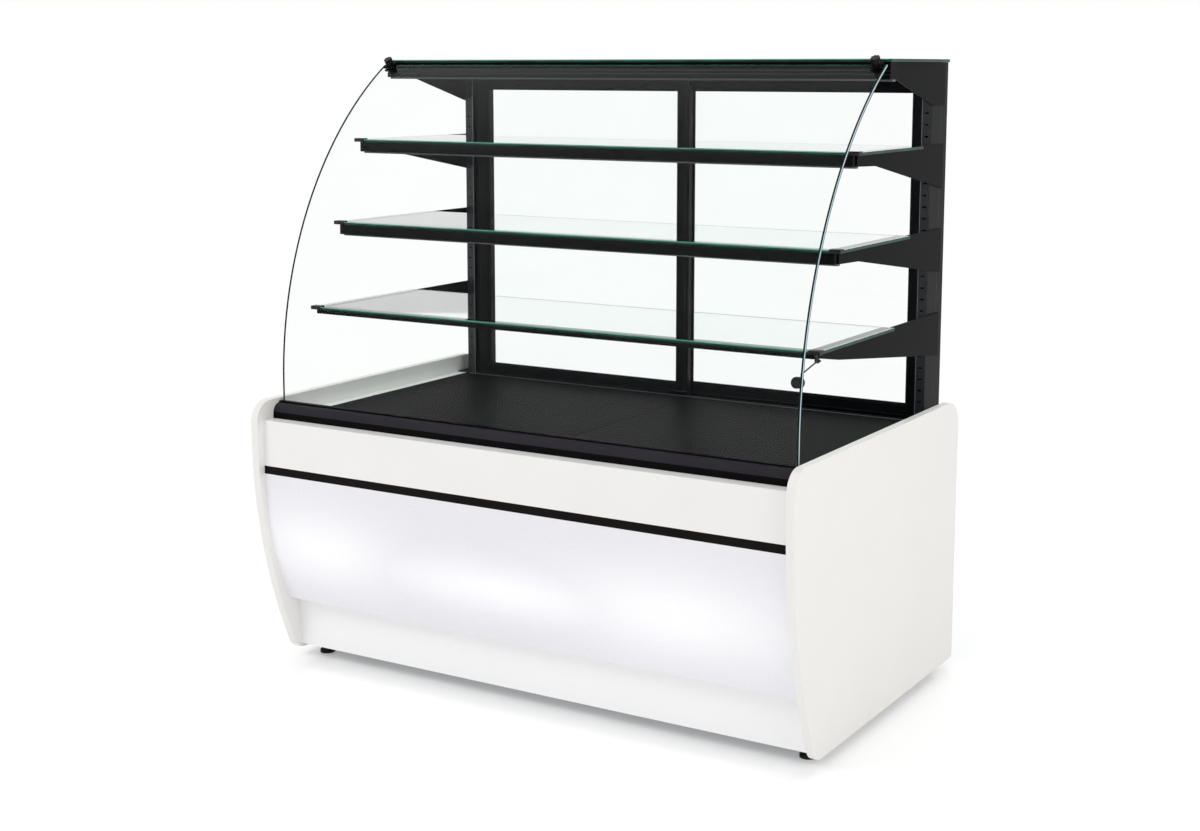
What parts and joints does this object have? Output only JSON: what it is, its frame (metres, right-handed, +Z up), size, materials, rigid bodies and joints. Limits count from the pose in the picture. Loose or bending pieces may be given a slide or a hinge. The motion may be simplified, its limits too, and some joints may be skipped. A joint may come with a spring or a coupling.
{
  "type": "pastry display case",
  "caption": "Refrigerated counter with a hinged curved front glass, stepped glass shelves, sliding rear doors, a bowed light panel and flat white side panels.",
  "frame": {"origin": "on the floor, midway between the side panels and between the front and rear of the base", "axes": "+X to the right seen from the customer side, +Y from the customer side to the staff side, +Z up"},
  "size_m": [1.31, 0.84, 1.3574],
  "materials": {
    "aluminium_fins": "bare",
    "band_white": "satin",
    "black_metal": "satin",
    "black_plastic": "fine texture",
    "black_track": "black anodised",
    "bracket_black": "satin",
    "clear_glass": "clear",
    "compressor_black": "gloss",
    "control_black": "matt",
    "dark_strip": "satin",
    "deck_graphite": "satin",
    "display_glass": "gloss",
    "door_frame": "black anodised",
    "fan_plastic": "matt",
    "foam": "foam",
    "foot_black": "matt",
    "front_glass": "clear",
    "galvanised": "galvanised",
    "header_black": "black anodised",
    "led_bar": "lit",
    "led_strip": "diffusing",
    "light_acrylic": "opal, lit from behind",
    "liner_steel": "satin",
    "post_black": "black anodised",
    "rail_black": "black anodised",
    "rocker_plastic": "gloss",
    "screw_steel": "zinc plated",
    "shelf_glass": "clear, green edge",
    "side_white": "satin",
    "stay_steel": "bare",
    "top_glass": "clear",
    "tray_plastic": "matt",
    "tray_white": "matt",
    "white_panel": "satin"
  },
  "bodies": {
    "case": {"accent_strip": "dark_strip", "base_frame": "galvanised", "bottom_track": "black_track", "compressor": "compressor_black", "condenser": "aluminium_fins", "condenser_fan_case": "galvanised", "control_box": "control_black", "cover_screws": "screw_steel", "deck_bearers": "galvanised", "deck_plate_left": "deck_graphite", "deck_plate_right": "deck_graphite", "evaporator": "aluminium_fins", "evaporator_fan_case": "galvanised", "front_rail": "rail_black", "header_profile": "header_black", "hinge_blocks": "black_metal", "light_panel": "light_acrylic", "light_panel_leds": "led_bar", "light_strips": "led_strip", "light_tray": "tray_white", "mains_gland": "black_plastic", "plinth": "white_panel", "rear_cover": "galvanised", "rear_posts": "post_black", "rear_sill": "black_track", "shelf_brackets": "bracket_black", "shelf_clips": "black_plastic", "shelf_glass_lower": "shelf_glass", "shelf_glass_middle": "shelf_glass", "shelf_glass_upper": "shelf_glass", "shelf_rails": "rail_black", "side_panel_left": "side_white", "side_panel_right": "side_white", "temperature_display": "display_glass", "top_brackets": "bracket_black", "top_glass": "top_glass", "top_track": "black_track", "upper_fascia": "band_white", "well_caps": "white_panel", "well_insulation": "foam", "well_liner": "liner_steel"},
    "front_glass": {"front_glass": "front_glass", "glass_carrier": "rail_black", "glass_clamps": "black_metal", "stay_knob": "black_plastic"},
    "clamp_knob_left": {"clamp_knob_left": "black_plastic"},
    "clamp_knob_right": {"clamp_knob_right": "black_plastic"},
    "door_left": {"door_frame_left": "door_frame", "door_glass_left": "clear_glass"},
    "door_right": {"door_frame_right": "door_frame", "door_glass_right": "clear_glass"},
    "foot_front_left": {"foot_front_left": "foot_black"},
    "foot_front_right": {"foot_front_right": "foot_black"},
    "foot_rear_left": {"foot_rear_left": "foot_black"},
    "foot_rear_right": {"foot_rear_right": "foot_black"},
    "condenser_fan": {"condenser_fan": "fan_plastic"},
    "evaporator_fan": {"evaporator_fan": "fan_plastic"},
    "condensate_tray": {"condensate_tray": "tray_plastic"},
    "power_rocker": {"power_rocker": "rocker_plastic"},
    "stay_rod": {"stay_rod": "stay_steel"}
  },
  "joints": [
    {"name": "front_glass_hinge", "type": "hinge", "parent": "case", "child": "front_glass", "pos_m": [0, -0.342, 0.598], "axis": [1, 0, 0], "range_deg": [0, 50]},
    {"name": "clamp_knob_left_turn", "type": "hinge", "parent": "front_glass", "child": "clamp_knob_left", "pos_m": [-0.606, 0.02497, 1.34566], "axis": [0, -0.5446, 0.8387], "range_deg": [0, 90]},
    {"name": "clamp_knob_right_turn", "type": "hinge", "parent": "front_glass", "child": "clamp_knob_right", "pos_m": [0.606, 0.02497, 1.34566], "axis": [0, -0.5446, 0.8387], "range_deg": [0, 90]},
    {"name": "door_left_slide", "type": "slide", "parent": "case", "child": "door_left", "axis": [1, 0, 0], "range_m": [0, 0.56]},
    {"name": "door_right_slide", "type": "slide", "parent": "case", "child": "door_right", "axis": [-1, 0, 0], "range_m": [0, 0.56]},
    {"name": "foot_front_left_height", "type": "slide", "parent": "case", "child": "foot_front_left", "axis": [0, 0, -1], "range_m": [0, 0.012]},
    {"name": "foot_front_right_height", "type": "slide", "parent": "case", "child": "foot_front_right", "axis": [0, 0, -1], "range_m": [0, 0.012]},
    {"name": "foot_rear_left_height", "type": "slide", "parent": "case", "child": "foot_rear_left", "axis": [0, 0, -1], "range_m": [0, 0.012]},
    {"name": "foot_rear_right_height", "type": "slide", "parent": "case", "child": "foot_rear_right", "axis": [0, 0, -1], "range_m": [0, 0.012]},
    {"name": "condenser_fan_spin", "type": "hinge", "parent": "case", "child": "condenser_fan", "pos_m": [0.06, 0.32, 0.185], "axis": [0, 1, 0], "continuous": true},
    {"name": "evaporator_fan_spin", "type": "hinge", "parent": "case", "child": "evaporator_fan", "pos_m": [0, 0.12, 0.4802], "axis": [0, 1, 0], "continuous": true},
    {"name": "condensate_tray_slide", "type": "slide", "parent": "case", "child": "condensate_tray", "axis": [0, 1, 0], "range_m": [0, 0.19]},
    {"name": "power_rocker_tilt", "type": "hinge", "parent": "case", "child": "power_rocker", "pos_m": [0.425, 0.411, 0.35], "axis": [-1, 0, 0], "range_deg": [0, 8]},
    {"name": "stay_swing", "type": "hinge", "parent": "case", "child": "stay_rod", "pos_m": [0.616, -0.246, 0.786], "axis": [-1, 0, 0], "range_deg": [0, 50]}
  ]
}
